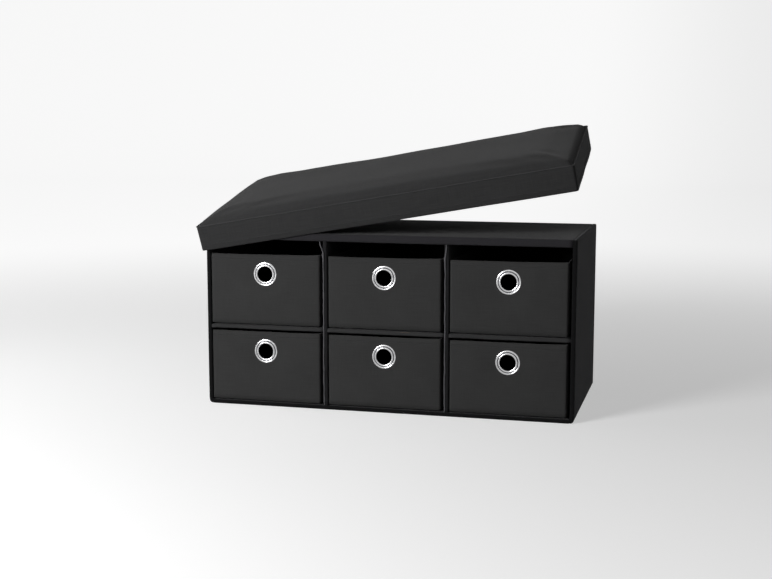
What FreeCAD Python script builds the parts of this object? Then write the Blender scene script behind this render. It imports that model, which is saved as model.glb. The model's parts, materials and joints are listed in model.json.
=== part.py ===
"""Folding storage bench with six fabric drawers and a loose padded lid.

Frame: millimetres, +X to the right, -Y to the front (the drawers' side), +Z up.
The origin lies on the floor, under the middle of the body.  The lid is shown tipped up
on its front left corner, and the drawers are pushed in.
"""
import FreeCAD, Part
import Sketcher
import math
import os

doc = FreeCAD.newDocument("StorageBench")

# ---------------------------------------------------------------- driving dimensions
DIMENSIONS = [
    ("body_width", 760.0, "outside of the side panels"),
    ("body_depth", 380.0, "front binding to the back of the back panel"),
    ("body_height", 360.0, "floor to the top of the body"),
    ("panel", 8.0, "thickness of the bottom, sides, back and top"),
    ("divider", 9.0, "thickness of the two upright dividers"),
    ("shelf", 7.5, "thickness of the three shelves"),
    ("cloth", 1.0, "fabric sleeve round each board, padding included"),
    ("board_gap", 0.2, "play between a board and its sleeve"),
    ("binding", 3.0, "depth of the tape along the front edges"),
    ("edge_step", 1.0, "how far the dividers' and shelves' front edges lie behind the binding"),
    ("rail_height", 15.0, "padded rail under the front edge of the top"),
    ("rail_depth", 9.0, "front to back"),
    ("rail_round", 2.5, "rounding of the rail's two front edges"),
    ("head_gap", 35.2, "open slot between the upper drawers and the top"),
    ("drawer_top_gap", 2.7, "between the lower drawers and the shelves"),
    ("slide_gap", 0.3, "under each drawer"),
    ("drawer_gap_left", 2.0, "drawer to the panel on its left"),
    ("drawer_gap_right", 6.5, "drawer to the panel on its right"),
    ("drawer_recess", 2.0, "drawer front behind the front of the body"),
    ("drawer_back_gap", 12.0, "drawer to the back panel"),
    ("drawer_wall", 2.4, "soft side and back walls, and the floor"),
    ("drawer_front", 6.0, "stiffened front wall"),
    ("drawer_round", 3.0, "rounding of the drawer's upright corners"),
    ("front_margin", 4.0, "hem between the front board and the edge of the drawer front"),
    ("base_board", 3.0, "loose board on the floor of a drawer"),
    ("base_play", 1.0, "base board to the drawer walls"),
    ("eyelet_drop", 42.0, "eyelet centre below the top of its drawer"),
    ("eyelet_hole", 15.75, "inner radius of the eyelet, where a finger goes in"),
    ("eyelet_barrel", 1.0, "wall of the eyelet's barrel"),
    ("eyelet_groove", 20.4, "radius of the shallow groove between lip and rim"),
    ("eyelet_flange", 24.8, "outer radius of the eyelet"),
    ("eyelet_lip", 3.2, "how far the inner lip stands out of the fabric"),
    ("eyelet_rim", 2.4, "how far the outer rim stands out of the fabric"),
    ("groove_height", 1.3, "height of the metal at the groove"),
    ("barrel_tail", 1.2, "barrel's end past the washer side of the front"),
    ("washer_radius", 23.0, "outer radius of the washer inside the drawer"),
    ("washer", 0.8, "thickness of the washer"),
    ("fit", 0.1, "play round the eyelet's barrel"),
    ("lid_gap", 6.0, "skirt to the body, all round"),
    ("skirt_wall", 4.0, "two layers of fabric with a stiff strip between"),
    ("skirt_clear", 3.2, "closed skirt's lower edge above the upper drawers"),
    ("seat_gap", 0.5, "lid's underside above the body when closed"),
    ("lid_board", 5.0, "board in the lid"),
    ("seat_foam", 11.9, "foam pad on the lid's board"),
    ("seat_round", 12.0, "rounding along the lid's upper edges"),
    ("lid_corner", 6.0, "rounding of the lid's upright corners"),
    ("tilt_angle", 14.33, "degrees the lid is tipped up as shown"),
    ("tilt_heading", 43.75, "degrees from +X to the tipping axis, towards the front"),
    ("tilt_rise", 6.23, "degrees that the axis climbs"),
    ("pivot_out", 4.55, "axis outside the skirt's inner corner"),
    ("pivot_up", 14.8, "axis above the skirt's lower edge"),
]

sheet = doc.addObject("Spreadsheet::Sheet", "Dims")
for row, (alias, value, note) in enumerate(DIMENSIONS, start=1):
    sheet.set(f"A{row}", alias)
    sheet.set(f"B{row}", str(value))
    sheet.setAlias(f"B{row}", alias)
    sheet.set(f"C{row}", note)
doc.recompute()

# Lengths worked out from the sheet, as expressions.
SIDE = "(Dims.body_width / 2)"
INNER = f"({SIDE} - Dims.panel)"
FRONT = "(-Dims.body_depth / 2)"
BACK = "(Dims.body_depth / 2)"
BACK_FACE = f"({BACK} - Dims.panel)"
PANEL_FRONT = f"({FRONT} + Dims.binding)"
EDGE_FRONT = f"({FRONT} + Dims.edge_step)"
RAIL_BACK = f"({FRONT} + Dims.rail_depth)"
TOP = "Dims.body_height"
CEILING = f"({TOP} - Dims.panel)"
RAIL_FOOT = f"({TOP} - Dims.rail_height)"
COLUMN = f"((2 * {INNER} - 2 * Dims.divider) / 3)"
DRAWER_WIDTH = f"({COLUMN} - Dims.drawer_gap_left - Dims.drawer_gap_right)"
DRAWER_DEPTH = "(Dims.body_depth - Dims.panel - Dims.drawer_recess - Dims.drawer_back_gap)"
ROW_SPACE = f"({CEILING} - Dims.panel - Dims.shelf - Dims.head_gap - Dims.drawer_top_gap)"
DRAWER_HEIGHT = f"({ROW_SPACE} / 2 - Dims.slide_gap)"
SHELF_FOOT = f"(Dims.panel + Dims.slide_gap + {DRAWER_HEIGHT} + Dims.drawer_top_gap)"
SHELF_TOP = f"({SHELF_FOOT} + Dims.shelf)"
BARREL = "(Dims.eyelet_hole + Dims.eyelet_barrel)"
LID_CEILING = f"({TOP} + Dims.seat_gap)"
SKIRT_FOOT = f"({CEILING} - Dims.head_gap + Dims.skirt_clear)"
SKIRT_IN_X = f"({SIDE} + Dims.lid_gap)"
SKIRT_IN_Y = f"({BACK} + Dims.lid_gap)"
LID_X = f"({SKIRT_IN_X} + Dims.skirt_wall)"
LID_Y = f"({SKIRT_IN_Y} + Dims.skirt_wall)"
LINING_TOP = f"({LID_CEILING} + Dims.cloth)"
LID_BOARD_TOP = f"({LINING_TOP} + Dims.board_gap + Dims.lid_board)"
FOAM_TOP = f"({LID_BOARD_TOP} + Dims.board_gap + Dims.seat_foam)"
LID_TOP = f"({FOAM_TOP} + Dims.board_gap + Dims.cloth)"

pieces = {}


def number(expression):
    """The value of an expression on the sheet."""
    return float(sheet.evalExpression(expression))


def keep(label, piece):
    """Name a finished sub-part; its label is its file's name."""
    piece.Label = label
    pieces[label] = piece
    return piece


def inset(bounds, by):
    """Bounds moved inwards by the same amount at both ends."""
    low, high = bounds
    return f"{low} + ({by})", f"{high} - ({by})"


def centred(half):
    """Bounds that lie the same distance each side of the middle."""
    return f"-{half}", half


def block(name, x, y, z):
    """A box between two bounds along each axis."""
    box = doc.addObject("Part::Box", name)
    for axis, size, (low, high) in (("x", "Length", x), ("y", "Width", y), ("z", "Height", z)):
        box.setExpression(size, f"{high} - ({low})")
        box.setExpression(f"Placement.Base.{axis}", low)
    return box


def cut(name, base, tool):
    """One solid less another."""
    result = doc.addObject("Part::Cut", name)
    result.Base = base
    result.Tool = tool
    return result


def origin_plane(body, role):
    """One of a body's own origin planes."""
    return next(item for item in body.Origin.OriginFeatures if item.Role == role)


def new_sketch(body, name, role, offset="0"):
    """A sketch on a plane of its body's origin, moved along the plane's normal."""
    sketch = body.newObject("Sketcher::SketchObject", name)
    sketch.AttachmentSupport = [(origin_plane(body, role), "")]
    sketch.MapMode = "FlatFace"
    sketch.setExpression("AttachmentOffset.Base.z", offset)
    return sketch


def bind_constraint(sketch, name, expression, constraint):
    """Add a constraint whose size follows the sheet."""
    index = sketch.addConstraint(constraint)
    sketch.renameConstraint(index, name)
    sketch.setExpression(f"Constraints.{name}", expression)


def draw_rectangle(sketch, x, y):
    """A rectangle whose four sides are bound to the sheet."""
    left, right, low, high = (number(bound) for bound in (*x, *y))
    corners = [(left, low), (right, low), (right, high), (left, high)]
    for start, end in zip(corners, corners[1:] + corners[:1]):
        sketch.addGeometry(Part.LineSegment(FreeCAD.Vector(*start, 0), FreeCAD.Vector(*end, 0)))
    for side in range(4):
        sketch.addConstraint(Sketcher.Constraint("Coincident", side, 2, (side + 1) % 4, 1))
    for side, direction in enumerate(("Horizontal", "Vertical", "Horizontal", "Vertical")):
        sketch.addConstraint(Sketcher.Constraint(direction, side))
    places = (("left", "DistanceX", 0, left, x[0]), ("low", "DistanceY", 0, low, y[0]),
              ("right", "DistanceX", 2, right, x[1]), ("high", "DistanceY", 2, high, y[1]))
    for name, kind, line, value, expression in places:
        bind_constraint(sketch, name, expression, Sketcher.Constraint(kind, -1, 1, line, 1, value))


def add_slab(body, name, x, y, z):
    """Pad a rectangle upwards between two heights."""
    sketch = new_sketch(body, f"{name}_sketch", "XY_Plane", z[0])
    draw_rectangle(sketch, x, y)
    pad = body.newObject("PartDesign::Pad", name)
    pad.Profile = sketch
    pad.setExpression("Length", f"{z[1]} - ({z[0]})")
    doc.recompute()
    return pad


def cut_slab(body, name, x, y, z):
    """Pocket a rectangle upwards between two heights, and see that it took material away."""
    before = body.Shape.Volume
    sketch = new_sketch(body, f"{name}_sketch", "XY_Plane", z[0])
    draw_rectangle(sketch, x, y)
    pocket = body.newObject("PartDesign::Pocket", name)
    pocket.Profile = sketch
    pocket.setExpression("Length", f"{z[1]} - ({z[0]})")
    pocket.Reversed = True
    doc.recompute()
    if body.Shape.Volume >= before - 1:
        raise RuntimeError(f"{name} takes nothing away")
    return pocket


def round_edges(body, name, feature, radius, chosen):
    """Fillet the edges of a feature that a test picks out."""
    edges = [f"Edge{index}" for index, edge in enumerate(feature.Shape.Edges, start=1) if chosen(edge)]
    fillet = body.newObject("PartDesign::Fillet", name)
    fillet.Base = (feature, edges)
    fillet.setExpression("Radius", radius)
    doc.recompute()
    return fillet


def is_upright(edge):
    """A straight edge along Z."""
    ends = edge.BoundBox
    return ends.ZLength > 1 and ends.XLength < 1e-6 and ends.YLength < 1e-6


def is_level_at(edge, height):
    """An edge that lies in a level plane."""
    ends = edge.BoundBox
    return abs(ends.ZMin - height) < 1e-6 and abs(ends.ZMax - height) < 1e-6


# ---------------------------------------------------------------- carcass
# Each panel is a stiff board sewn into a fabric sleeve; the sleeves are sewn together.
def sewn_panel(name, x, y, z):
    """A board and the fabric sleeve round it, filling one box."""
    outside = block(f"{name}_outside", x, y, z)
    space = [inset(bounds, "Dims.cloth") for bounds in (x, y, z)]
    hollow = block(f"{name}_hollow", *space)
    cover = cut(f"{name}_sleeve", outside, hollow)
    board = block(f"{name}_stiffener", *[inset(bounds, "Dims.board_gap") for bounds in space])
    keep(f"{name}_cover", cover)
    keep(f"{name}_board", board)


across = centred(INNER)
sewn_panel("bottom", across, (PANEL_FRONT, BACK_FACE), ("0", "Dims.panel"))
sewn_panel("back", across, (BACK_FACE, BACK), ("0", TOP))
sewn_panel("top", across, (RAIL_BACK, BACK_FACE), (CEILING, TOP))
sewn_panel("left_side", (f"-{SIDE}", f"-{INNER}"), (PANEL_FRONT, BACK), ("0", TOP))
sewn_panel("right_side", (INNER, SIDE), (PANEL_FRONT, BACK), ("0", TOP))

# The dividers stand on the bottom and carry the top.  Their upper front corner is notched
# to let the rail pass in front of them.
for name, start in (("left", f"-{INNER} + {COLUMN}"),
                    ("right", f"-{INNER} + 2 * {COLUMN} + Dims.divider")):
    thick = (start, f"{start} + Dims.divider")
    outside = block(f"{name}_divider_outside", thick, (EDGE_FRONT, BACK_FACE), ("Dims.panel", CEILING))
    notch = block(f"{name}_divider_notch", thick, (FRONT, RAIL_BACK), (RAIL_FOOT, TOP))
    notched = cut(f"{name}_divider_notched", outside, notch)
    board_y = (f"{RAIL_BACK} + Dims.cloth", f"{BACK_FACE} - Dims.cloth")
    board_z = inset(("Dims.panel", CEILING), "Dims.cloth")
    space = (inset(thick, "Dims.cloth"), board_y, board_z)
    hollow = block(f"{name}_divider_hollow", *space)
    keep(f"{name}_divider_cover", cut(f"{name}_divider_sleeve", notched, hollow))
    keep(f"{name}_divider_board",
         block(f"{name}_divider_stiffener", *[inset(bounds, "Dims.board_gap") for bounds in space]))

# One shelf in each column carries the upper drawer.
for place, name in enumerate(("left", "middle", "right")):
    start = f"-{INNER} + {place} * ({COLUMN} + Dims.divider)"
    sewn_panel(f"{name}_shelf", (start, f"{start} + {COLUMN}"), (EDGE_FRONT, BACK_FACE),
               (SHELF_FOOT, SHELF_TOP))

# The tape that binds the front edges of the sides and the bottom is one U-shaped strip.
binding = doc.addObject("Part::MultiFuse", "binding_strip")
front_edge = (FRONT, PANEL_FRONT)
binding.Shapes = [
    block("binding_left", (f"-{SIDE}", f"-{INNER}"), front_edge, ("0", TOP)),
    block("binding_right", (INNER, SIDE), front_edge, ("0", TOP)),
    block("binding_bottom", across, front_edge, ("0", "Dims.panel")),
]
binding.Refine = True
keep("front_binding", binding)

# The padded rail hides the front edge of the top and hangs a little below it.
rail = doc.addObject("PartDesign::Body", "rail_body")
rail_pad = add_slab(rail, "rail_pad", across, (FRONT, RAIL_BACK), (RAIL_FOOT, TOP))
front_face = number(FRONT)
round_edges(rail, "rail_round", rail_pad, "Dims.rail_round",
            lambda edge: abs(edge.BoundBox.YMax - front_face) < 1e-6 and edge.BoundBox.XLength > 1)
keep("top_front_rail", rail)


# ---------------------------------------------------------------- drawers
# A drawer is a sewn fabric box.  A board stiffens its front, a loose board lies on its
# floor, and a metal eyelet clinched through the front onto a washer is its finger pull.
def bulge(chord, height):
    """Radius of an arc over a chord with a given height."""
    return f"(({chord}) ^ 2 / 4 + ({height}) ^ 2) / (2 * ({height}))"


def draw_eyelet(sketch):
    """Half section of the eyelet: x is the radius, y the depth behind the fabric's face."""
    tail = "Dims.drawer_front + Dims.barrel_tail"
    valley = "-Dims.groove_height"
    corners = {"tail_in": ("Dims.eyelet_hole", tail), "mouth": ("Dims.eyelet_hole", valley),
               "groove": ("Dims.eyelet_groove", valley), "brim": ("Dims.eyelet_flange", valley),
               "edge": ("Dims.eyelet_flange", "0"), "seat": (BARREL, "0"), "tail_out": (BARREL, tail)}
    arcs = {"mouth": "Dims.eyelet_lip", "groove": "Dims.eyelet_rim"}
    names = list(corners)
    point = {name: FreeCAD.Vector(number(x), number(y), 0) for name, (x, y) in corners.items()}
    starts = {}
    for index, name in enumerate(names):
        start, end = point[name], point[names[(index + 1) % len(names)]]
        if name in arcs:
            crest = FreeCAD.Vector((start.x + end.x) / 2, -number(arcs[name]), 0)
            curve = Part.Arc(start, crest, end)
        else:
            curve = Part.LineSegment(start, end)
        sketch.addGeometry(curve)
        runs_forward = (sketch.Geometry[index].StartPoint - start).Length < 1e-6
        starts[name] = (index, 1, 2) if runs_forward else (index, 2, 1)
    for index, name in enumerate(names):
        line, start, end = starts[name]
        next_line, next_start, _ = starts[names[(index + 1) % len(names)]]
        sketch.addConstraint(Sketcher.Constraint("Coincident", line, end, next_line, next_start))
    for name, (x, y) in corners.items():
        line, start, _ = starts[name]
        bind_constraint(sketch, f"{name}_radius", x, Sketcher.Constraint(
            "DistanceX", -1, 1, line, start, point[name].x))
        if y == "0":
            sketch.addConstraint(Sketcher.Constraint("PointOnObject", line, start, -1))
        else:
            bind_constraint(sketch, f"{name}_depth", y, Sketcher.Constraint(
                "DistanceY", -1, 1, line, start, point[name].y))
    for name, end in (("mouth", "groove"), ("groove", "brim")):
        radius = bulge(f"{corners[end][0]} - {corners[name][0]}", f"{arcs[name]} - Dims.groove_height")
        bind_constraint(sketch, f"{name}_round", radius,
                        Sketcher.Constraint("Radius", starts[name][0], number(radius)))


def put(piece, x, y, z):
    """Bind a piece's place to the sheet."""
    for axis, expression in (("x", x), ("y", y), ("z", z)):
        piece.setExpression(f"Placement.Base.{axis}", expression)


def make_drawer(name, left, foot):
    """One drawer with its boards, eyelet and washer."""
    front = f"{FRONT} + Dims.drawer_recess"
    eyelet_x = f"{DRAWER_WIDTH} / 2"
    eyelet_z = f"{DRAWER_HEIGHT} - Dims.eyelet_drop"
    wall = "Dims.drawer_wall"

    box = doc.addObject("PartDesign::Body", f"{name}_box")
    solid = add_slab(box, f"{name}_outside", ("0", DRAWER_WIDTH), ("0", DRAWER_DEPTH),
                     ("0", DRAWER_HEIGHT))
    round_edges(box, f"{name}_corners", solid, "Dims.drawer_round", is_upright)
    cut_slab(box, f"{name}_inside", (wall, f"{DRAWER_WIDTH} - {wall}"),
             ("Dims.drawer_front", f"{DRAWER_DEPTH} - {wall}"), (wall, DRAWER_HEIGHT))
    slot = (inset(("0", DRAWER_WIDTH), "Dims.front_margin"),
            inset(("0", "Dims.drawer_front"), "Dims.cloth"),
            inset(("0", DRAWER_HEIGHT), "Dims.front_margin"))
    cut_slab(box, f"{name}_slot", *slot)
    before = box.Shape.Volume
    circle = new_sketch(box, f"{name}_hole_sketch", "XZ_Plane")
    centre = FreeCAD.Vector(number(eyelet_x), number(eyelet_z), 0)
    circle.addGeometry(Part.Circle(centre, FreeCAD.Vector(0, 0, 1), number(BARREL)))
    bind_constraint(circle, "across", eyelet_x, Sketcher.Constraint("DistanceX", -1, 1, 0, 3, centre.x))
    bind_constraint(circle, "up", eyelet_z, Sketcher.Constraint("DistanceY", -1, 1, 0, 3, centre.y))
    bind_constraint(circle, "size", f"{BARREL} + Dims.fit",
                    Sketcher.Constraint("Radius", 0, number(BARREL)))
    hole = box.newObject("PartDesign::Pocket", f"{name}_hole")
    hole.Profile = circle
    hole.setExpression("Length", "Dims.drawer_front")
    doc.recompute()
    if box.Shape.Volume >= before - 1:
        raise RuntimeError(f"{name}: the eyelet's hole takes nothing away")
    put(box, left, front, foot)
    keep(f"{name}_drawer", box)

    low = [f"({start}) + {bounds[0]} + Dims.board_gap" for start, bounds in zip((left, front, foot), slot)]
    high = [f"({start}) + {bounds[1]} - Dims.board_gap" for start, bounds in zip((left, front, foot), slot)]
    plain = block(f"{name}_front_blank", *zip(low, high))
    bore = doc.addObject("Part::Cylinder", f"{name}_front_bore")
    bore.setExpression("Radius", f"{BARREL} + Dims.fit")
    bore.setExpression("Height", "Dims.drawer_front")
    bore.Placement.Rotation = FreeCAD.Rotation(FreeCAD.Vector(1, 0, 0), -90)
    put(bore, f"{left} + {eyelet_x}", front, f"{foot} + {eyelet_z}")
    keep(f"{name}_front_board", cut(f"{name}_front_stiffener", plain, bore))

    keep(f"{name}_base_board", block(
        f"{name}_base",
        (f"{left} + {wall} + Dims.base_play", f"{left} + {DRAWER_WIDTH} - {wall} - Dims.base_play"),
        (f"{front} + Dims.drawer_front + Dims.base_play",
         f"{front} + {DRAWER_DEPTH} - {wall} - Dims.base_play"),
        (f"{foot} + {wall}", f"{foot} + {wall} + Dims.base_board")))

    ring = doc.addObject("PartDesign::Body", f"{name}_ring")
    section = new_sketch(ring, f"{name}_ring_sketch", "XY_Plane")
    draw_eyelet(section)
    turned = ring.newObject("PartDesign::Revolution", f"{name}_ring_turned")
    turned.Profile = section
    turned.ReferenceAxis = (section, ["V_Axis"])
    turned.Angle = 360
    put(ring, f"{left} + {eyelet_x}", front, f"{foot} + {eyelet_z}")
    keep(f"{name}_eyelet", ring)

    disc = doc.addObject("Part::Cylinder", f"{name}_washer_disc")
    disc.setExpression("Radius", "Dims.washer_radius")
    centre_hole = doc.addObject("Part::Cylinder", f"{name}_washer_hole")
    centre_hole.setExpression("Radius", f"{BARREL} + Dims.fit")
    for blank in (disc, centre_hole):
        blank.setExpression("Height", "Dims.washer")
        blank.Placement.Rotation = FreeCAD.Rotation(FreeCAD.Vector(1, 0, 0), -90)
        put(blank, f"{left} + {eyelet_x}", f"{front} + Dims.drawer_front", f"{foot} + {eyelet_z}")
    keep(f"{name}_eyelet_washer", cut(f"{name}_washer", disc, centre_hole))


for place, column in enumerate(("left", "middle", "right")):
    left_edge = f"-{INNER} + {place} * ({COLUMN} + Dims.divider) + Dims.drawer_gap_left"
    make_drawer(f"lower_{column}", left_edge, "Dims.panel + Dims.slide_gap")
    make_drawer(f"upper_{column}", left_edge, f"{SHELF_TOP} + Dims.slide_gap")

# ---------------------------------------------------------------- lid
# The lid is a loose cap.  It is built level, as it lies on the body, and then every
# piece of it is tipped about one axis near the front left corner of the skirt.
heading = math.radians(number("Dims.tilt_heading"))
rise = math.radians(number("Dims.tilt_rise"))
tilt_axis = FreeCAD.Vector(math.cos(heading) * math.cos(rise),
                           -math.sin(heading) * math.cos(rise),
                           math.sin(rise))
pivot = FreeCAD.Vector(-number(SKIRT_IN_X) - number("Dims.pivot_out") * math.sin(heading),
                       -number(SKIRT_IN_Y) - number("Dims.pivot_out") * math.cos(heading),
                       number(SKIRT_FOOT) + number("Dims.pivot_up"))
tipped = FreeCAD.Placement(FreeCAD.Vector(),
                           FreeCAD.Rotation(tilt_axis, number("Dims.tilt_angle")),
                           pivot)


def tip(label, piece):
    """Name a piece of the lid and tip it with the rest."""
    piece.Placement = tipped
    return keep(label, piece)


def rounded_slab(name, play, z, crowned=False):
    """The lid's outline, smaller by some play all round, with rounded upright corners.

    A crowned slab has its upper edges rounded too, like the seat."""
    body = doc.addObject("PartDesign::Body", f"{name}_body")
    slab = add_slab(body, name, inset(centred(LID_X), play), inset(centred(LID_Y), play), z)
    result = round_edges(body, f"{name}_corners", slab, f"Dims.lid_corner - ({play})", is_upright)
    if crowned:
        height = number(z[1])
        round_edges(body, f"{name}_crown", result, f"Dims.seat_round - ({play})",
                    lambda edge: is_level_at(edge, height))
    return body


skirt_x = centred(SKIRT_IN_X)
skirt_y = centred(SKIRT_IN_Y)
flap_x = inset(skirt_x, "-Dims.cloth")
flap_y = inset(skirt_y, "-Dims.cloth")
strip_z = (f"{SKIRT_FOOT} + Dims.cloth", LINING_TOP)
inner_play = "(Dims.cloth + Dims.board_gap)"

# The cover goes over the foam and down the outside of the skirt, and comes up inside it as
# a flap, so that the stiff strips hang in a pocket between the two layers.
pocket = cut("skirt_pocket", rounded_slab("pocket_outside", "Dims.cloth", strip_z),
             block("pocket_inside", flap_x, flap_y, strip_z))
cap = block("cap_inside", skirt_x, skirt_y, (SKIRT_FOOT, LINING_TOP))
pad_room = rounded_slab("pad_room", "Dims.cloth", (LINING_TOP, f"{LID_TOP} - Dims.cloth"), crowned=True)
hollow = doc.addObject("Part::MultiFuse", "lid_hollow")
hollow.Shapes = [pad_room, cap, pocket]
outside = rounded_slab("lid_outside", "0", (SKIRT_FOOT, LID_TOP), crowned=True)
tip("lid_cover", cut("lid_case", outside, hollow))

lining = doc.addObject("PartDesign::Body", "lining_body")
add_slab(lining, "lining_sheet", inset(skirt_x, "Dims.board_gap"), inset(skirt_y, "Dims.board_gap"),
         (LID_CEILING, LINING_TOP))
tip("lid_lining", lining)
tip("lid_board", rounded_slab("seat_board", inner_play,
                              (f"{LINING_TOP} + Dims.board_gap", LID_BOARD_TOP)))
tip("lid_foam", rounded_slab("seat_pad", inner_play,
                             (f"{LID_BOARD_TOP} + Dims.board_gap", FOAM_TOP), crowned=True))

# Four stiff strips hold the skirt flat.  They stop short of its rounded corners.
strips = doc.addObject("Part::Compound", "skirt_strips")
long_way = centred(f"({LID_X} - Dims.lid_corner)")
short_way = centred(f"({LID_Y} - Dims.lid_corner)")
strip_heights = inset(strip_z, "Dims.board_gap")
near_x = f"({SKIRT_IN_X} + {inner_play})"
far_x = f"({LID_X} - {inner_play})"
near_y = f"({SKIRT_IN_Y} + {inner_play})"
far_y = f"({LID_Y} - {inner_play})"
strips.Links = [
    block("strip_front", long_way, (f"-{far_y}", f"-{near_y}"), strip_heights),
    block("strip_back", long_way, (near_y, far_y), strip_heights),
    block("strip_left", (f"-{far_x}", f"-{near_x}"), short_way, strip_heights),
    block("strip_right", (near_x, far_x), short_way, strip_heights),
]
tip("lid_skirt_strips", strips)

# ---------------------------------------------------------------- check and write
doc.recompute()
for item in doc.Objects:
    if "Invalid" in item.State or "Error" in item.State:
        raise RuntimeError(f"{item.Label} failed: {item.State}")
os.makedirs("parts", exist_ok=True)
for label, piece in pieces.items():
    if piece.Shape.isNull() or not piece.Shape.isValid() or not piece.Shape.Solids:
        raise RuntimeError(f"{label} has no valid shape")
for label, piece in pieces.items():
    piece.Shape.exportStep(f"parts/{label}.step")
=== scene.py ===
import json
import math
import bmesh
import bpy
from mathutils import Matrix, Vector, noise


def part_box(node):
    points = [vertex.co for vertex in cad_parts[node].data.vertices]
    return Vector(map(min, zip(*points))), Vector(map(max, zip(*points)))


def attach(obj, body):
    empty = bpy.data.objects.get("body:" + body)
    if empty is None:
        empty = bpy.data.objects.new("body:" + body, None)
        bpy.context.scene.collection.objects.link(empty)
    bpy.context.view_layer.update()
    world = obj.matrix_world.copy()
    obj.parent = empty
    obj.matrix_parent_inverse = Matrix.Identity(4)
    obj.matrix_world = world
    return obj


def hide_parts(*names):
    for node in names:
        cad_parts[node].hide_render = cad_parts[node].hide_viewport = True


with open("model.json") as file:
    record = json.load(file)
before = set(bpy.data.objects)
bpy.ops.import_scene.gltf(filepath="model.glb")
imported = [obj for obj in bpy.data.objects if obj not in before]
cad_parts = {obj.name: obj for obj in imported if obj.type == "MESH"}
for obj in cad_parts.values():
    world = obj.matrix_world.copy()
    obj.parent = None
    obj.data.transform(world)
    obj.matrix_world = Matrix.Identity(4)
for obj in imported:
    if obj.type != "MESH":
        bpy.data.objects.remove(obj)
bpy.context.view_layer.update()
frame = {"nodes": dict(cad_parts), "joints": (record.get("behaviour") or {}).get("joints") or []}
nodes = frame["nodes"]


# ---- Studio ---------------------------------------------------------------------------------
# The bench stands on a pale seamless sweep.  One broad lamp to the front left lights it, and a
# weak one from the right keeps the end panel readable.
camera = bpy.data.cameras.new("studio_camera")
camera.lens = 60.55
camera.sensor_width = 36
camera_stand = bpy.data.objects.new("studio_camera", camera)
bpy.context.collection.objects.link(camera_stand)
camera_stand.location = (0.6501, -2.6731, 0.6046)
aim = Vector((-0.0472, 0, 0.2252)) - camera_stand.location
camera_stand.rotation_euler = aim.to_track_quat("-Z", "Y").to_euler()
bpy.context.scene.camera = camera_stand
bpy.context.scene.view_settings.view_transform = "Standard"


def hang_lamp(name, place, target, size, watts):
    lamp = bpy.data.lights.new(name, "AREA")
    lamp.shape = "DISK"
    lamp.size = size
    lamp.energy = watts
    holder = bpy.data.objects.new(name, lamp)
    bpy.context.collection.objects.link(holder)
    holder.location = place
    holder.rotation_euler = (Vector(target) - Vector(place)).to_track_quat("-Z", "Y").to_euler()


hang_lamp("key_lamp", (-1.45, -2.4, 0.98), (0, 0, 0.2), 1.1, 68)
hang_lamp("fill_lamp", (2.9, -2.2, 1.2), (0.1, 0, 0.2), 1.8, 2)
hang_lamp("top_lamp", (-1.2, -0.1, 0.9), (-0.3, 0, 0.35), 0.6, 2)


class Tone:
    """One value in a finish, so that sums of such values are written as sums."""

    def __init__(self, tree, socket=None):
        self.tree = tree
        self.socket = socket

    def node(self, kind, settings=None, values=None, out=0):
        made = self.tree.nodes.new("ShaderNode" + kind)
        for name, value in (settings or {}).items():
            if name == "stops":
                ramp = made.color_ramp
                for place, _ in value[1:-1]:
                    ramp.elements.new(place)
                for stop, (place, shade) in zip(ramp.elements, value):
                    stop.position = place
                    stop.color = (shade, shade, shade, 1)
            else:
                setattr(made, name, value)
        for name, value in (values or {}).items():
            if isinstance(value, Tone):
                self.tree.links.new(value.socket, made.inputs[name])
            else:
                made.inputs[name].default_value = value
        return Tone(self.tree, made.outputs[out])

    def sum(self, operation, *terms):
        return self.node("Math", {"operation": operation}, dict(enumerate(terms)))

    def __add__(self, other):
        return self.sum("ADD", self, other)

    def __sub__(self, other):
        return self.sum("SUBTRACT", self, other)

    def __rsub__(self, other):
        return self.sum("SUBTRACT", other, self)

    def __mul__(self, other):
        return self.sum("MULTIPLY", self, other)

    __radd__ = __add__
    __rmul__ = __mul__


def new_finish(name):
    finish = bpy.data.materials.new(name)
    finish.use_nodes = True
    return finish, finish.node_tree.nodes["Principled BSDF"], Tone(finish.node_tree)


world = bpy.data.worlds.new("studio_air")
bpy.context.scene.world = world
world.use_nodes = True
air = Tone(world.node_tree)
backing = world.node_tree.nodes["Background"]
backing.inputs["Color"].default_value = (1, 1, 1, 1)
height = air.node("SeparateXYZ", {}, {0: air.node("TexCoord", out="Generated")}, out=2)
overhead = air.node("ValToRGB", {"stops": [(0.0, 0.10), (0.18, 0.22), (0.45, 0.9), (1.0, 1.0)]},
                    {0: height})
strength = (air.node("LightPath", out="Is Camera Ray") * 0.91 + 0.05
            + air.node("LightPath", out="Is Glossy Ray") * overhead * 0.85)
world.node_tree.links.new(strength.socket, backing.inputs["Strength"])


def edges_where(form, test):
    """The edges whose two ends both lie where a test allows."""
    return [e for e in form.edges if all(test(v.co) for v in e.verts)]


def edges_along(form, axis, reach):
    """The edges that run further than a reach along one axis."""
    return [e for e in form.edges if abs(e.verts[0].co[axis] - e.verts[1].co[axis]) > reach]


def verts_in(made):
    return [v for v in made if isinstance(v, bmesh.types.BMVert)]


def edges_in(made):
    return [e for e in made if isinstance(e, bmesh.types.BMEdge)]


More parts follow.
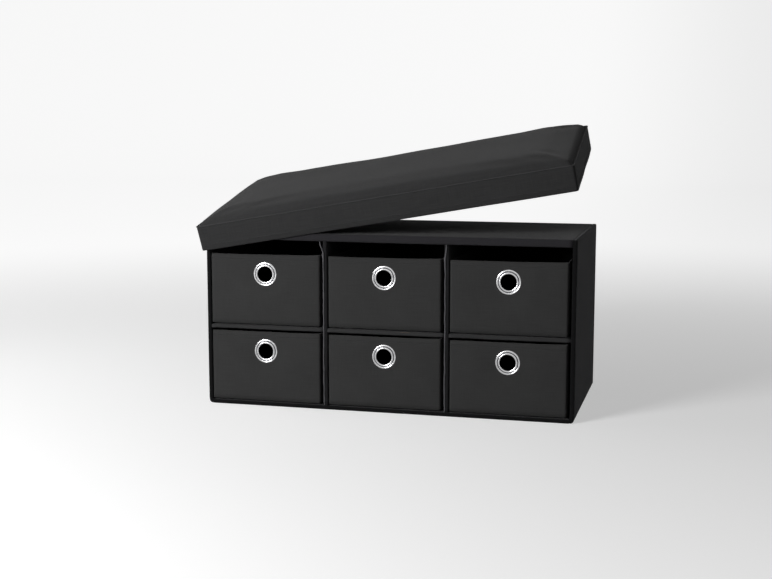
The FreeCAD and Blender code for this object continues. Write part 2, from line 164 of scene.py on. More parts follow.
sweep_form = bmesh.new()
bmesh.ops.create_grid(sweep_form, x_segments=1, y_segments=1, size=30)
far_edge = [e for e in sweep_form.edges if all(v.co.y > 25 for v in e.verts)]
bmesh.ops.translate(sweep_form, verts=far_edge[0].verts, vec=(0, -22, 0))
bend = 2
bmesh.ops.spin(sweep_form, geom=far_edge, cent=(0, 8, bend), axis=(1, 0, 0), angle=math.pi / 2, steps=16,
               use_duplicate=False)
rim = edges_where(sweep_form, lambda at: abs(at.z - bend) < 1e-4)
rise = bmesh.ops.extrude_edge_only(sweep_form, edges=rim)["geom"]
bmesh.ops.translate(sweep_form, verts=verts_in(rise), vec=(0, 0, 4))
sweep_mesh = bpy.data.meshes.new("floor_sweep")
sweep_form.to_mesh(sweep_mesh)
sweep_form.free()
for face in sweep_mesh.polygons:
    face.use_smooth = True
sweep = bpy.data.objects.new("floor_sweep", sweep_mesh)
bpy.context.collection.objects.link(sweep)
paper, paper_skin, tone = new_finish("sweep_paper")
paper_skin.inputs["Roughness"].default_value = 0.9
paper_skin.inputs["Specular IOR Level"].default_value = 0.0
straight = tone.node("LightPath", out="Is Camera Ray")
shade = tone.node("Mix", {"data_type": "RGBA"},
                  {0: straight, 6: (0.16, 0.16, 0.16, 1), 7: (0.62, 0.62, 0.62, 1)}, out=2)
paper.node_tree.links.new(shade.socket, paper_skin.inputs["Base Color"])
place = tone.node("TexCoord", out="Object")
width = tone.node("SeparateXYZ", {}, {0: place}, out=0)
spread = tone.node("VectorMath", {"operation": "LENGTH"}, {0: place}, out=1)
far = tone.node("MapRange", {"interpolation_type": "SMOOTHSTEP"},
                {0: spread, 1: 0.3, 2: 3.6, 3: 0.53, 4: 0.89})
# Painted shade: the glow of the sweep is dimmed towards its right side.
right = tone.node("MapRange", {"interpolation_type": "SMOOTHSTEP"},
                  {0: width, 1: -0.8, 2: 1.4, 3: 0.01, 4: -0.11})
lit = straight + tone.node("LightPath", out="Is Glossy Ray")
glow = tone.node("Emission", {}, {"Color": (1, 1, 1, 1),
                                  "Strength": lit.sum("MINIMUM", lit, 1) * (far + right)})
paper_mix = tone.node("AddShader", {}, {0: Tone(paper.node_tree, paper_skin.outputs[0]), 1: glow})
paper.node_tree.links.new(paper_mix.socket, paper.node_tree.nodes["Material Output"].inputs["Surface"])
sweep_mesh.materials.append(paper)


# ---- Shell panels ---------------------------------------------------------------------------
# Five stiff boards, each sewn into a pocket of charcoal woven polyester and joined at the
# edges.  The cloth is drawn over the boards, so the long edges are soft and the faces nearly flat.
def woven_finish(name, colour, pitch=0.0011, streak=0.22, sheen=0.06, roughness=0.9, on_cad=False):
    finish, skin, tone = new_finish(name)
    if on_cad:
        place = tone.node("TexCoord", out="Object")
    else:
        place = tone.node("UVMap", {"uv_map": "weave"})
    along = tone.node("SeparateXYZ", {}, {0: place}, out=0)
    across = tone.node("SeparateXYZ", {}, {0: place}, out=1)
    turn = math.pi / pitch
    warp_wave = (along * turn).sum("SINE", along * turn)
    weft_wave = (across * turn).sum("SINE", across * turn)
    over = warp_wave.sum("GREATER_THAN", warp_wave * weft_wave, 0)
    warp = warp_wave.sum("ABSOLUTE", warp_wave)
    weft = weft_wave.sum("ABSOLUTE", weft_wave)
    thread = over * (warp * (weft * 0.5 + 0.5)) + (1 - over) * (weft * (warp * 0.5 + 0.5))
    drawn = tone.node("Mapping", {}, {"Vector": place, "Scale": (22, 900, 22)})
    slub = tone.node("TexNoise", {}, {"Vector": drawn, "Scale": 1, "Detail": 2})
    crossed = tone.node("Mapping", {}, {"Vector": place, "Scale": (700, 30, 22)})
    cross_slub = tone.node("TexNoise", {}, {"Vector": crossed, "Scale": 1, "Detail": 2})
    cloud = tone.node("TexNoise", {}, {"Vector": place, "Scale": 14, "Detail": 4})
    light = ((slub - 0.5) * streak * 3 + (cross_slub - 0.5) * streak * 2
             + (cloud - 0.5) * 0.5 + (thread - 0.5) * 0.35)
    amount = light + 0.5
    dark = tuple(c * 0.72 for c in colour) + (1,)
    pale = tuple(c * 1.28 for c in colour) + (1,)
    shade = tone.node("Mix", {"data_type": "RGBA"}, {0: amount, 6: dark, 7: pale}, out=2)
    finish.node_tree.links.new(shade.socket, skin.inputs["Base Color"])
    rough = amount * 0.12 + (roughness - 0.06)
    finish.node_tree.links.new(rough.socket, skin.inputs["Roughness"])
    crease = tone.node("TexNoise", {}, {"Vector": place, "Scale": 38, "Detail": 3})
    relief = thread * 0.00022 + slub * 0.0002 + crease * 0.0006
    bump = tone.node("Bump", {}, {"Strength": 0.55, "Distance": 1.0, "Height": relief})
    finish.node_tree.links.new(bump.socket, skin.inputs["Normal"])
    skin.inputs["Sheen Weight"].default_value = sheen
    skin.inputs["Sheen Roughness"].default_value = 0.45
    skin.inputs["Specular IOR Level"].default_value = 0.12
    return finish


body_cloth = woven_finish("body_cloth", (0.030, 0.030, 0.032))


def cut_across(form, axis, places):
    for place in places:
        point = Vector()
        point[axis] = place
        normal = Vector()
        normal[axis] = 1
        bmesh.ops.bisect_plane(form, geom=form.verts[:] + form.edges[:] + form.faces[:], dist=1e-6,
                               plane_co=point, plane_no=normal)


def steps_between(low, high, spacing):
    count = max(1, round((high - low) / spacing))
    return [low + (high - low) * i / count for i in range(1, count)]


def start_box(low, high):
    form = bmesh.new()
    bmesh.ops.create_cube(form, size=1)
    bmesh.ops.scale(form, verts=form.verts, vec=high - low)
    bmesh.ops.translate(form, verts=form.verts, vec=(low + high) / 2)
    return form


def sew_piece(name, form, finish, body, slot, *stands_for, inner_finish=None, turned=None):
    mesh = bpy.data.meshes.new(name)
    bmesh.ops.recalc_face_normals(form, faces=form.faces)
    laid = form.loops.layers.uv.new("weave")
    for face in form.faces:
        size = [abs(c) for c in face.normal]
        up = size.index(max(size))
        for loop in face.loops:
            at = loop.vert.co
            loop[laid].uv = [(at.y, at.z), (at.x, at.z), (at.x, at.y)][up]
    if turned:
        bmesh.ops.transform(form, matrix=turned, verts=form.verts)
    form.to_mesh(mesh)
    form.free()
    for face in mesh.polygons:
        face.use_smooth = True
    piece = bpy.data.objects.new(name, mesh)
    bpy.context.collection.objects.link(piece)
    mesh.materials.append(finish)
    if inner_finish:
        mesh.materials.append(inner_finish)
    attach(piece, body)
    if stands_for:
        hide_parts(*stands_for)
    return piece


def ripple(at, size, depth):
    return noise.noise(at * (1 / size)) * depth


def round_off(form, edges, radius, segments=3):
    bmesh.ops.bevel(form, geom=edges, offset=radius, segments=segments, profile=0.5, affect="EDGES",
                    material=-1)


panels = {
    "back_cover": (0.0025, 1),
    "bottom_cover": (0.0012, 2),
    "top_cover": (0.0015, 2),
    "left_side_cover": (0.0030, 0),
    "right_side_cover": (0.0030, 0),
}
for panel, (radius, thin) in panels.items():
    low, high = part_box(panel)
    form = start_box(low, high)
    if thin == 0:
        outer = low.x if panel.startswith("left") else high.x
        foot = edges_where(form, lambda at: abs(at.x - outer) < 1e-5 and at.z < low.z + 0.001)
        round_off(form, foot, 0.0074, 5)
        crest = edges_where(form, lambda at: abs(at.x - outer) < 1e-5 and at.z > high.z - 0.001)
        round_off(form, crest, 0.0030, 4)
        back_edge = edges_where(form, lambda at: abs(at.x - outer) < 1e-5 and at.y > high.y - 0.001)
        round_off(form, back_edge, 0.0030, 3)
    else:
        round_off(form, form.edges[:], radius)
    for axis in range(3):
        if axis != thin:
            cut_across(form, axis, steps_between(low[axis], high[axis], 0.014))
    middle = (low[thin] + high[thin]) / 2
    for v in form.verts:
        slack = ripple(v.co + Vector((7, 3, 1)), 0.09, 0.0011) + ripple(v.co, 0.025, 0.0003)
        outward = 1 if v.co[thin] > middle else -1
        reach = min(1, min(min(v.co[a] - low[a], high[a] - v.co[a]) for a in range(3) if a != thin) / 0.02)
        if panel == "top_cover" and outward > 0:
            slack = -abs(slack)
        v.co[thin] += outward * max(-0.0006, slack - 0.0003) * max(0, reach)
    sew_piece(panel.replace("_cover", "_cloth"), form, body_cloth, "carcass", "body_fabric", panel)


def board_finish(name, dark, pale, scale):
    finish, skin, tone = new_finish(name)
    place = tone.node("TexCoord", out="Object")
    fibre = tone.node("TexNoise", {}, {"Vector": place, "Scale": scale, "Detail": 8, "Roughness": 0.7})
    speck = tone.node("TexVoronoi", {}, {"Vector": place, "Scale": scale * 3})
    mix = tone.node("Mix", {"data_type": "RGBA"},
                    {0: fibre * 0.8 + speck * 0.3, 6: dark + (1,), 7: pale + (1,)}, out=2)
    finish.node_tree.links.new(mix.socket, skin.inputs["Base Color"])
    bump = tone.node("Bump", {}, {"Strength": 0.4, "Distance": 1.0,
                                  "Height": fibre * 0.0003 + speck * 0.0001})
    finish.node_tree.links.new(bump.socket, skin.inputs["Normal"])
    skin.inputs["Roughness"].default_value = 0.9
    return finish


fibreboard = board_finish("fibreboard", (0.20, 0.14, 0.09), (0.42, 0.31, 0.21), 240)
for side in ("left", "right"):
    low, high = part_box(f"{side}_side_board")
    form = start_box(low, high)
    outer = low.x if side == "left" else high.x
    foot = edges_where(form, lambda at: abs(at.x - outer) < 1e-5 and at.z < 0.01)
    round_off(form, foot, min(0.0068, high.x - low.x - 0.0002), 5)
    sew_piece(f"{side}_side_stiffener", form, fibreboard, "carcass", "stiff_board", f"{side}_side_board")


# ---- Front binding --------------------------------------------------------------------------
# A black woven tape folded over the raw front edges of the two sides and the bottom and sewn
# through.  It turns the two lower corners in a small curve.
tape_cloth = woven_finish("tape_cloth", (0.0032, 0.0032, 0.0036), pitch=0.0007, streak=0.1, sheen=0.1)
low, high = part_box("front_binding")
half, turn = 0.004, 0.008
form = bmesh.new()
ring = bmesh.ops.create_circle(form, segments=16, radius=1)["verts"]
for v in ring:
    v.co.x = math.copysign(abs(v.co.x) ** 0.7, v.co.x)
    v.co.y = math.copysign(abs(v.co.y) ** 0.7, v.co.y)
bmesh.ops.scale(form, verts=ring, vec=(half, 0.0021, 1))
bmesh.ops.translate(form, verts=ring, vec=(low.x + half, low.y + 0.0019, high.z - 0.0002))
cap_one = form.edges[:]
loop = form.edges[:]


def pull_tape(form, loop, shift):
    made = bmesh.ops.extrude_edge_only(form, edges=loop)["geom"]
    verts = verts_in(made)
    bmesh.ops.translate(form, verts=verts, vec=shift)
    return [e for e in edges_in(made) if all(v in verts for v in e.verts)]


def turn_tape(form, loop, centre):
    made = bmesh.ops.spin(form, geom=loop, cent=centre, axis=(0, 1, 0), angle=-math.pi / 2, steps=8,
                          use_duplicate=False)["geom_last"]
    return edges_in(made)


run_down = high.z - 0.0002 - half - turn
run_across = high.x - low.x - 2 * (half + turn)
loop = pull_tape(form, loop, (0, 0, -run_down))
loop = turn_tape(form, loop, (low.x + half + turn, 0, half + turn))
loop = pull_tape(form, loop, (run_across, 0, 0))
loop = turn_tape(form, loop, (high.x - half - turn, 0, half + turn))
loop = pull_tape(form, loop, (0, 0, run_down))
bmesh.ops.edgeloop_fill(form, edges=cap_one)
bmesh.ops.edgeloop_fill(form, edges=loop)
cut_across(form, 2, steps_between(0.02, 0.358, 0.012))
cut_across(form, 0, steps_between(-0.36, 0.36, 0.012))
for v in form.verts:
    v.co.y += abs(ripple(v.co, 0.02, 0.0004))
    v.co.x += abs(ripple(v.co + Vector((0, 9, 0)), 0.05, 0.0004)) * (1 if v.co.x < 0 else -1)
sew_piece("front_binding_tape", form, tape_cloth, "carcass", "edge_tape", "front_binding")


# ---- Top front rail -------------------------------------------------------------------------
# The front edge of the top panel: a padded roll of the body cloth that spans from side to side
# above the upper drawers, closed underneath by a row of stitches.
rail_cloth = woven_finish("rail_cloth", (0.025, 0.024, 0.027))
low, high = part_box("top_front_rail")
form = start_box(low, high)
round_off(form, edges_along(form, 0, 0.1), 0.0034, 5)
cut_across(form, 0, steps_between(low.x, high.x, 0.009))
for v in form.verts:
    v.co.y += ripple(v.co, 0.06, 0.0008)
    v.co.z += ripple(v.co + Vector((4, 0, 0)), 0.08, 0.0008) * (1 if v.co.z < (low.z + high.z) / 2 else 0.3)
sew_piece("top_front_roll", form, rail_cloth, "carcass", "body_fabric", "top_front_rail")


# ---- Dividers and shelves -------------------------------------------------------------------
# Two upright dividers and three shelves part the body into six bays.  Each is a thin board in a
# sleeve of body cloth.  The sleeves' front edges are loose, and wander a little above the drawers.
# Painted shade: the dividers' cloth is a darker copy of the body cloth.
divider_cloth = woven_finish("divider_cloth", (0.015, 0.015, 0.016))
# Painted light: the shelves' cloth is a paler copy of the body cloth.
shelf_cloth = woven_finish("shelf_cloth", (0.036, 0.036, 0.037))
# Painted highlight: a pale cord stands for the light caught by the left side of each divider's front edge.
piping_cloth = woven_finish("piping_cloth", (0.105, 0.103, 0.110), pitch=0.0006)


def smooth_step(value, start, end):
    share = min(1, max(0, (value - start) / (end - start)))
    return share * share * (3 - 2 * share)


for side in ("left", "right"):
    low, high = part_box(f"{side}_divider_cover")
    rail_low, rail_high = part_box("top_front_rail")
    form = start_box(low, high)
    cut_across(form, 1, [rail_high.y + 0.0005])
    cut_across(form, 2, [rail_low.z - 0.0004])
    notch = [f for f in form.faces if f.calc_center_median().y < rail_high.y + 0.0005
             and f.calc_center_median().z > rail_low.z - 0.0004]
    bmesh.ops.delete(form, geom=notch, context="FACES")
    bmesh.ops.holes_fill(form, edges=form.edges[:], sides=0)
    round_off(form, [e for e in edges_along(form, 2, 0.1)
                     if all(v.co.y < low.y + 0.0001 for v in e.verts)], 0.0030, 4)
    cut_across(form, 2, steps_between(low.z, high.z, 0.007))
    cut_across(form, 1, [low.y + 0.006, low.y + 0.014, low.y + 0.03, low.y + 0.06]
               + steps_between(-0.12, high.y, 0.03))
    for v in form.verts:
        front = max(0, 1 - (v.co.y - low.y) / 0.05)
        loose = min(1, max(0, (v.co.z - 0.314) / 0.031))
        v.co.x += front * (ripple(v.co, 0.03, 0.0009) - loose * 0.0005)
        v.co.y -= front * ripple(v.co + Vector((3, 3, 0)), 0.02, 0.0006)
    sew_piece(f"{side}_divider_cloth", form, divider_cloth, "carcass", "body_fabric",
              f"{side}_divider_cover")

    # The pale cord follows the loose front edge, with its lean and knot at the top; its pale colour is a
    # painted highlight.
    low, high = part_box(f"{side}_divider_cover")
    form = bmesh.new()
    cord = bmesh.ops.create_circle(form, segments=10, radius=0.0015)["verts"]
    bmesh.ops.translate(form, verts=cord, vec=(low.x + 0.0019, low.y - 0.0006, low.z + 0.002))
    loop = form.edges[:]
    ends = form.edges[:]
    lengths = 110
    step = (0.3445 - low.z - 0.002) / lengths
    for _ in range(lengths):
        loop = pull_tape(form, loop, (0, 0, step))
    bmesh.ops.edgeloop_fill(form, edges=ends)
    bmesh.ops.edgeloop_fill(form, edges=loop)
    bottom_x = low.x + 0.0019
    for v in form.verts:
        loose = smooth_step(v.co.z, 0.318, 0.343)
        knot = math.exp(-((v.co.z - 0.3165) / 0.004) ** 2) * (1 if side == "left" else 0.6)
        swell = 1 + 0.9 * knot + 0.3 * ripple(v.co, 0.01, 1)
        v.co.x = bottom_x + (v.co.x - bottom_x) * swell
        v.co.x += (-0.0075 if side == "left" else 0.0025) * loose - 0.0010 * knot + ripple(v.co, 0.02, 0.0009)
        v.co.y -= 0.0008 * knot
    sew_piece(f"{side}_divider_highlight_cord", form, piping_cloth, "carcass", "edge_tape")

for column in ("left", "middle", "right"):
    low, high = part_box(f"{column}_shelf_cover")
    form = start_box(low, high)
    round_off(form, [e for e in edges_along(form, 0, 0.1)
                     if all(v.co.y < low.y + 0.0001 for v in e.verts)], 0.0026, 4)
    cut_across(form, 0, steps_between(low.x, high.x, 0.009))
    cut_across(form, 1, [low.y + 0.006, low.y + 0.014, low.y + 0.03] + steps_between(-0.14, high.y, 0.03))
    for v in form.verts:
        front = max(0, 1 - (v.co.y - low.y) / 0.03)
        v.co.z += front * (ripple(v.co, 0.05, 0.0004) - 0.0003)
        v.co.y -= front * ripple(v.co + Vector((3, 3, 0)), 0.03, 0.0008)
    sew_piece(f"{column}_shelf_cloth", form, shelf_cloth, "carcass", "body_fabric",
              f"{column}_shelf_cover")


# ---- Drawers --------------------------------------------------------------------------------
# Six soft boxes of woven cloth.  The front wall holds a board between two layers and is slightly
# puffed, the other walls are a single hemmed cloth, and a wrapped board lies on the floor.
drawer_cloth = woven_finish("drawer_cloth", (0.0385, 0.0385, 0.0385))
thread_finish = woven_finish("sewing_thread", (0.060, 0.060, 0.062), pitch=0.0003, streak=0.05)


wall_face = -0.188
stitch_pitch = 0.0034


def add_stitch(form, at, along):
    bead = bmesh.ops.create_icosphere(form, subdivisions=1, radius=1)["verts"]
    size = (0.00115, 0.0003, 0.00032) if along == "x" else (0.0003, 0.00115, 0.00032)
    bmesh.ops.scale(form, verts=bead, vec=size)
    bmesh.ops.translate(form, verts=bead, vec=at)


def as_drawn(piece):
    """A new mesh of a piece with its modifiers worked in."""
    return bpy.data.meshes.new_from_object(piece.evaluated_get(bpy.context.evaluated_depsgraph_get()))


def sew_drawer(name):
    low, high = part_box(f"{name}_drawer")
    eyelet_low, eyelet_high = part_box(f"{name}_eyelet")
    eye = (eyelet_low + eyelet_high) / 2
    low.y = wall_face
    form = start_box(low, high)
    round_off(form, [e for e in edges_along(form, 2, 0.05) if e.verts[0].co.y < 0], 0.0042, 5)
    round_off(form, [e for e in edges_along(form, 2, 0.05) if e.verts[0].co.y > 0.16], 0.003, 3)
    floor_face = [f for f in form.faces if f.normal.z < -0.9]
    round_off(form, floor_face[0].edges[:], 0.0034, 4)
    mouth = max(form.faces, key=lambda f: f.calc_center_median().z)
    bmesh.ops.inset_individual(form, faces=[mouth], thickness=0.0024)
    for v in mouth.verts:
        v.co.y += 0.0036 * max(0, 1 - (v.co.y - low.y - 0.0024) / 0.003) if v.co.y < low.y + 0.006 else 0
    sunk = bmesh.ops.extrude_face_region(form, geom=[mouth])["geom"]
    bmesh.ops.delete(form, geom=[mouth], context="FACES_ONLY")
    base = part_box(f"{name}_base_board")[0].z - 0.0002
    for v in verts_in(sunk):
        v.co.z = base
    round_off(form, edges_where(form, lambda at: at.z > high.z - 1e-5), 0.0009, 2)
    hem = high.z - 0.0125
    cut_across(form, 2, steps_between(low.z + 0.004, hem - 0.003, 0.009)
               + [hem - 0.0016, hem - 0.0008, hem, hem + 0.0008, hem + 0.0016, high.z - 0.006])
    cut_across(form, 0, [low.x + 0.008, low.x + 0.012, high.x - 0.008, high.x - 0.012]
               + steps_between(low.x + 0.012, high.x - 0.012, 0.009))
    cut_across(form, 1, steps_between(low.y + 0.012, high.y - 0.008, 0.022))
    wide, tall = high.x - low.x, high.z - low.z
    board_foot, board_top = [corner.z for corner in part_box(f"{name}_front_board")]
    seed = Vector((low.x * 13, 0, low.z * 17))
    for v in form.verts:
        u, w = (v.co.x - low.x) / wide, (v.co.z - low.z) / tall
        side_run = 1 - abs(2 * ((v.co.y - low.y) / (high.y - low.y)) - 1) ** 2
        if v.co.y < low.y + 0.0015:
            far = math.hypot(v.co.x - eye.x, v.co.z - eye.z)
            puff = (1 - abs(2 * u - 1) ** 5) * (1 - abs(2 * w - 1) ** 4)
            near = smooth_step(far, 0.024, 0.055)
            swell = (0.0020 * puff + ripple(v.co + seed, 0.06, 0.0011) * puff
                     + ripple(v.co + seed, 0.022, 0.0003) * puff)
            v.co.y -= swell * near
            groove = math.exp(-((v.co.z - hem) / 0.0007) ** 2)
            v.co.y += 0.0005 * groove * near
        if v.co.y > low.y + 0.0055:
            lift = smooth_step(w, 0.1, 1)
            inward = 0.0018 * side_run * lift * (1 if u < 0.5 else -1)
            if min(u, 1 - u) * wide < 0.004:
                v.co.x += inward + ripple(v.co + seed, 0.05, 0.0008) * lift * side_run
        top = smooth_step(w, 0.9, 1)
        slump = 0.0022 if name.startswith("upper") else 0.0038
        lifted = smooth_step(low.y + 0.012 - v.co.y, 0, 0.008) * (1 - smooth_step(w, 0.0, 0.06))
        if lifted and v.co.z < board_foot:
            raised_foot = v.co.z + (0.0024 + 0.0018 * abs(2 * u - 1) ** 14) * lifted
            v.co.z = max(v.co.z, min(raised_foot, board_foot - 0.0009))
        stretch = smooth_step(low.y + 0.02 - v.co.y, 0, 0.018) * (1 - smooth_step(u, 0, 0.3))
        v.co.x -= 0.0012 * stretch * (1 if name.endswith("left") else 0)
        v.co.z -= top * (slump * (1 - 0.6 * u) + 0.0008 * (1 - abs(2 * u - 1) ** 2)
                         + abs(ripple(v.co + seed, 0.05, 0.0008)))
        if top > 0.6 and v.co.y < low.y + 0.008:
            v.co.z = max(v.co.z, board_top + 0.0012)
    piece = sew_piece(f"{name}_drawer_cloth", form, drawer_cloth, f"{name}_drawer", "drawer_fabric",
                      f"{name}_drawer")
    punch_form = bmesh.new()
    bmesh.ops.create_cone(punch_form, cap_ends=True, segments=40, radius1=0.0178, radius2=0.0178,
                          depth=0.04)
    bmesh.ops.rotate(punch_form, verts=punch_form.verts, matrix=Matrix.Rotation(math.pi / 2, 3, "X"))
    bmesh.ops.translate(punch_form, verts=punch_form.verts, vec=(eye.x, -0.185, eye.z))
    punch_mesh = bpy.data.meshes.new("punch")
    punch_form.to_mesh(punch_mesh)
    punch_form.free()
    punch = bpy.data.objects.new("punch", punch_mesh)
    bpy.context.collection.objects.link(punch)
    hole = piece.modifiers.new("eyelet_hole", "BOOLEAN")
    hole.operation = "DIFFERENCE"
    hole.solver = "EXACT"
    hole.object = punch
    cut_mesh = as_drawn(piece)
    piece.modifiers.clear()
    piece.data = cut_mesh
    cut_mesh.name = piece.name
    bpy.data.objects.remove(punch)
    row = bmesh.new()
    margin = 0.007
    seam = wide - 2 * margin
    count = round(seam / stitch_pitch)
    for i in range(count):
        start = Vector((low.x + margin + seam * i / (count - 1), -0.3, hem - 0.0001))
        at = piece.ray_cast(start, Vector((0, 1, 0)))[1]
        add_stitch(row, at - Vector((0, 0.0001, 0)), "x")
    sew_piece(f"{name}_hem_stitches", row, thread_finish, f"{name}_drawer", "drawer_fabric")


drawer_names = [f"{row}_{column}" for row in ("lower", "upper") for column in ("left", "middle", "right")]
for name in drawer_names:
    sew_drawer(name)


# ---- Eyelets --------------------------------------------------------------------------------
# A bright plated brass eyelet is pressed through each front wall as a finger hole and clenched
# over a washer inside the drawer.
def plated_finish(name, colour, roughness):
    finish, skin, tone = new_finish(name)
    place = tone.node("TexCoord", out="Object")
    haze = tone.node("TexNoise", {}, {"Vector": place, "Scale": 260, "Detail": 4})
    drawn = tone.node("Mapping", {}, {"Vector": place, "Scale": (900, 900, 90)})
    scuffs = tone.node("TexNoise", {}, {"Vector": drawn, "Scale": 1, "Detail": 2})
    rough = haze * 0.04 + scuffs * 0.04 + (roughness - 0.04)
    finish.node_tree.links.new(rough.socket, skin.inputs["Roughness"])
    dull = tuple(c * 0.92 for c in colour) + (1,)
    shade = tone.node("Mix", {"data_type": "RGBA"}, {0: haze, 6: dull, 7: colour + (1,)}, out=2)
    finish.node_tree.links.new(shade.socket, skin.inputs["Base Color"])
    bump = tone.node("Bump", {}, {"Strength": 0.2, "Distance": 1.0, "Height": haze * 0.000008})
    finish.node_tree.links.new(bump.socket, skin.inputs["Normal"])
    skin.inputs["Metallic"].default_value = 1
    return finish


bright_plate = plated_finish("bright_plate", (0.80, 0.80, 0.81), 0.24)
dull_plate = plated_finish("dull_plate", (0.62, 0.62, 0.63), 0.32)
# Painted shade: a dark plate for the groove between the eyelet's outer rim and its inner lip.
groove_plate = plated_finish("groove_plate", (0.10, 0.10, 0.11), 0.40)


def dress(node, finish):
    mesh = nodes[node].data
    mesh.materials.clear()
    mesh.materials.append(finish)


# Radius from the hole's centre and distance in front of the wall's face, in mm, round the metal.
eyelet_outline = [
    (24.8, 0.0), (24.75, 0.7), (24.3, 1.5), (23.5, 2.0), (22.5, 2.1), (21.6, 1.7), (20.9, 0.9), (20.4, 0.4),
    (19.9, 0.5), (19.5, 1.7), (18.8, 2.8), (17.9, 3.2), (16.9, 3.0), (16.2, 2.4), (15.85, 1.4), (15.75, 0.0),
    (15.75, -5.6), (16.3, -6.7), (17.6, -7.15), (19.4, -7.2), (19.4, -6.85), (17.7, -6.75), (16.9, -6.2),
    (16.75, -5.4), (16.75, -0.4), (17.2, 0.0),
]
for name in drawer_names:
    low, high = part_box(f"{name}_eyelet")
    centre = (low + high) / 2
    form = bmesh.new()
    chain = [form.verts.new((centre.x + radius / 1000, wall_face - proud / 1000, centre.z))
             for radius, proud in eyelet_outline]
    for one, other in zip(chain, chain[1:] + chain[:1]):
        form.edges.new((one, other))
    bmesh.ops.spin(form, geom=form.verts[:] + form.edges[:], cent=centre, axis=(0, 1, 0), angle=2 * math.pi,
                   steps=72, use_merge=True, use_duplicate=False)
    ring = sew_piece(f"{name}_plated_eyelet", form, bright_plate, f"{name}_drawer", "eyelet_metal",
                     f"{name}_eyelet", inner_finish=groove_plate)
    # The faces in the groove get the dark plate as painted shade.
    for face in ring.data.polygons:
        reach = math.hypot(face.center.x - centre.x, face.center.z - centre.z)
        face.material_index = 1 if 0.0194 < reach < 0.0209 and face.center.y < wall_face else 0
    dress(f"{name}_eyelet_washer", dull_plate)


# ---- Lid ------------------------------------------------------------------------------------
# A loose padded cap: a stiff skirt all round, and a foam seat over a board on top.  It is shaped
# level, as when it is closed, and then tipped to where it rests on its joint.
hinge = next(j for j in frame["joints"] if j["name"] == "lid_tilt")
pivot = Vector(hinge["pos_m"])
raised = Matrix.Rotation(math.radians(-hinge["range_deg"][0]), 4, Vector(hinge["axis"]))
tipped = Matrix.Translation(pivot) @ raised @ Matrix.Translation(-pivot)
lid_cloth = woven_finish("lid_cloth", (0.034, 0.034, 0.0345), streak=0.34)
# Painted highlight: the welt's cloth is a paler copy of the lid cloth.
welt_cloth = woven_finish("welt_cloth", (0.050, 0.050, 0.051), pitch=0.0006)
lid_x, lid_y = 0.390, 0.200
skirt_foot, skirt_top, seat_top = 0.3190, 0.3695, 0.380
skirt_ceiling = 0.3617
corner = 0.006
crown, most_swell = 0.0105, 0.0035

form = start_box(Vector((-lid_x, -lid_y, skirt_foot)), Vector((lid_x, lid_y, skirt_top)))
round_off(form, edges_along(form, 2, 0.01), corner, 5)
under = min(form.faces, key=lambda f: f.calc_center_median().z)
bmesh.ops.inset_individual(form, faces=[under], thickness=0.004)
sunk = bmesh.ops.extrude_face_region(form, geom=[under])["geom"]
bmesh.ops.delete(form, geom=[under], context="FACES_ONLY")
for v in verts_in(sunk):
    v.co.z = skirt_ceiling
round_off(form, edges_where(form, lambda at: at.z < skirt_foot + 1e-5), 0.0012, 2)
round_off(form, edges_where(form, lambda at: at.z > skirt_top - 1e-5), 0.0016, 3)
hem = skirt_foot + 0.011
cut_across(form, 2, [hem - 0.0014, hem - 0.0007, hem, hem + 0.0007, hem + 0.0014, 0.340, 0.349, 0.358])
cut_across(form, 0, steps_between(-lid_x + 0.012, lid_x - 0.012, 0.012))
cut_across(form, 1, steps_between(-lid_y + 0.012, lid_y - 0.012, 0.012))
for v in form.verts:
    if v.co.z < skirt_top - 0.0005:
        depth = smooth_step(skirt_top - v.co.z, 0, 0.03)
        push = ripple(v.co + Vector((2, 5, 0)), 0.11, 0.0016) * depth - 0.0006 * depth
        groove = math.exp(-((v.co.z - hem) / 0.0006) ** 2) * 0.0005
        if abs(v.co.x) > lid_x - 0.0055 and abs(v.co.y) < lid_y - 0.01:
            outer = 1 if abs(v.co.x) > lid_x - 0.002 else 0
            v.co.x += math.copysign(push - groove * outer, v.co.x)
        if abs(v.co.y) > lid_y - 0.0055 and abs(v.co.x) < lid_x - 0.01:
            outer = 1 if abs(v.co.y) > lid_y - 0.002 else 0
            v.co.y += math.copysign(push - groove * outer, v.co.y)
skirt = sew_piece("lid_skirt_cloth", form, lid_cloth, "lid", "lid_fabric", "lid_cover", turned=tipped)

stitches = bmesh.new()
for reach, across, axis in ((lid_x, lid_y, "x"), (lid_y, lid_x, "y")):
    count = round((2 * reach - 0.016) / stitch_pitch)
    for i in range(count):
        run = -reach + 0.008 + (2 * reach - 0.016) * i / (count - 1)
        for side in (-1, 1):
            far = Vector((run, side * 0.5, hem)) if axis == "x" else Vector((side * 0.5, run, hem))
            inward = Vector((0, -side, 0)) if axis == "x" else Vector((-side, 0, 0))
            facing = tipped.to_3x3() @ inward
            hit, at, _, _ = skirt.ray_cast(tipped @ far, facing)
            if hit:
                add_stitch(stitches, tipped.inverted() @ at + inward * -0.0001, axis)
sew_piece("lid_hem_stitches", stitches, thread_finish, "lid", "lid_fabric", turned=tipped)

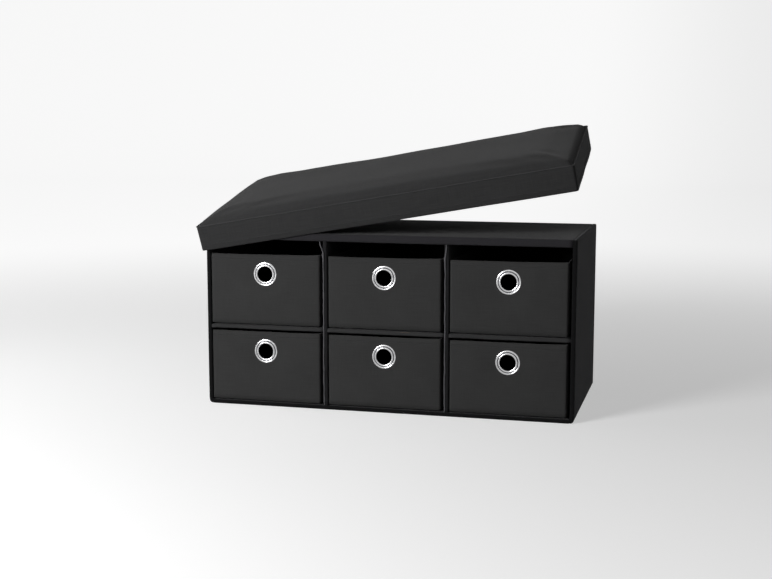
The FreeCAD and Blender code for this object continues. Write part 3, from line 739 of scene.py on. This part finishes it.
# The seam welt: a small ridge along the top seam, in the paler cloth as a painted highlight.
form = bmesh.new()
cord = bmesh.ops.create_circle(form, segments=10, radius=0.0011)["verts"]
bmesh.ops.rotate(form, verts=cord, matrix=Matrix.Rotation(math.pi / 2, 3, "X"))
bmesh.ops.translate(form, verts=cord, vec=(lid_x + 0.0001, -lid_y + corner, skirt_top + 0.0006))
loop = form.edges[:]
corners = [(lid_x - corner, lid_y - corner), (-lid_x + corner, lid_y - corner),
           (-lid_x + corner, -lid_y + corner), (lid_x - corner, -lid_y + corner)]
for count, (x, y) in enumerate(corners):
    shift = [(0, 2 * (lid_y - corner), 0), (-2 * (lid_x - corner), 0, 0)][count % 2]
    shift = Vector(shift) * (-1 if count > 1 else 1)
    for _ in range(40):
        loop = pull_tape(form, loop, shift / 40)
    made = bmesh.ops.spin(form, geom=loop, cent=(x, y, 0), axis=(0, 0, 1), angle=math.pi / 2, steps=6,
                          use_duplicate=False)["geom_last"]
    loop = edges_in(made)
bmesh.ops.remove_doubles(form, verts=form.verts, dist=0.00005)
for v in form.verts:
    v.co.z += ripple(v.co, 0.03, 0.0005)
sew_piece("lid_seam_welt", form, welt_cloth, "lid", "lid_fabric", turned=tipped)

form = start_box(Vector((-lid_x + 0.0015, -lid_y + 0.0015, 0.3625)),
                 Vector((lid_x - 0.0015, lid_y - 0.0015, seat_top - 0.001)))
round_off(form, edges_along(form, 2, 0.01), 0.010, 4)
round_off(form, edges_where(form, lambda at: at.z > seat_top - 0.003), 0.007, 4)
cut_across(form, 0, steps_between(-lid_x, lid_x, 0.012))
cut_across(form, 1, steps_between(-lid_y, lid_y, 0.012))
for v in form.verts:
    full = (1 - abs(v.co.x / lid_x) ** 12) * (1 - abs(v.co.y / lid_y) ** (16 if v.co.y < 0 else 8))
    v.co.z += crown * max(0, full) * smooth_step(v.co.z, 0.368, 0.378)
pad_mesh = bpy.data.meshes.new("lid_seat_cloth")
form.to_mesh(pad_mesh)
form.free()
pad = bpy.data.objects.new("lid_seat_cloth", pad_mesh)
bpy.context.collection.objects.link(pad)
remesh = pad.modifiers.new("even_cloth", "REMESH")
remesh.mode = "VOXEL"
remesh.voxel_size = 0.0068
pad.data = as_drawn(pad)
pad.modifiers.clear()
before = [v.co.copy() for v in pad.data.vertices]
held = pad.vertex_groups.new(name="held")
for v in pad.data.vertices:
    held.add([v.index], 1 if v.co.z < 0.3665 else 0, "REPLACE")
stuffing = pad.modifiers.new("stuffing", "CLOTH")
stuffing.settings.vertex_group_mass = "held"
stuffing.settings.use_pressure = True
stuffing.settings.uniform_pressure_force = 4
stuffing.settings.effector_weights.gravity = 0
stuffing.settings.quality = 5
stuffing.settings.tension_stiffness = 15
stuffing.settings.compression_stiffness = 15
stuffing.settings.bending_stiffness = 0.5
moments = 20
bpy.context.scene.frame_start = 1
bpy.context.scene.frame_end = moments
for step in range(1, moments + 1):
    bpy.context.scene.frame_set(step)
swollen = as_drawn(pad)
pad.modifiers.clear()
bpy.context.scene.frame_set(1)
after = [v.co.copy() for v in swollen.vertices]
form = bmesh.new()
form.from_mesh(pad.data)
form.verts.ensure_lookup_table()
for v in form.verts:
    move = after[v.index] - before[v.index]
    if move.length > most_swell:
        move *= most_swell / move.length
    v.co = before[v.index] + move
    rise = smooth_step(v.co.z, 0.372, 0.378)
    v.co.z += rise * ripple(v.co, 0.13, 0.0016)
soft_top = [v for v in form.verts if v.co.z > 0.372]
for _ in range(3):
    bmesh.ops.smooth_vert(form, verts=soft_top, factor=0.5, use_axis_x=True, use_axis_y=True, use_axis_z=True)
bpy.data.objects.remove(pad)
pad = sew_piece("lid_seat_cloth", form, lid_cloth, "lid", "lid_fabric", "lid_foam", turned=tipped)
smooth = pad.modifiers.new("smooth", "SUBSURF")
smooth.levels = 1
smooth.render_levels = 1


# ---- Lining and boards ----------------------------------------------------------------------
# The lid is closed underneath by a black non-woven lining, which also wraps the loose boards on
# the drawers' floors.  Grey-brown fibreboards stiffen every wall.
lining_sheet = woven_finish("lining_sheet", (0.009, 0.009, 0.010), pitch=0.0008, streak=0.05,
                            sheen=0.05, on_cad=True)
dress("lid_lining", lining_sheet)
dress("lid_skirt_strips", fibreboard)
for node in nodes:
    if node.endswith("_base_board"):
        dress(node, lining_sheet)
    elif node.endswith("_board"):
        dress(node, fibreboard)
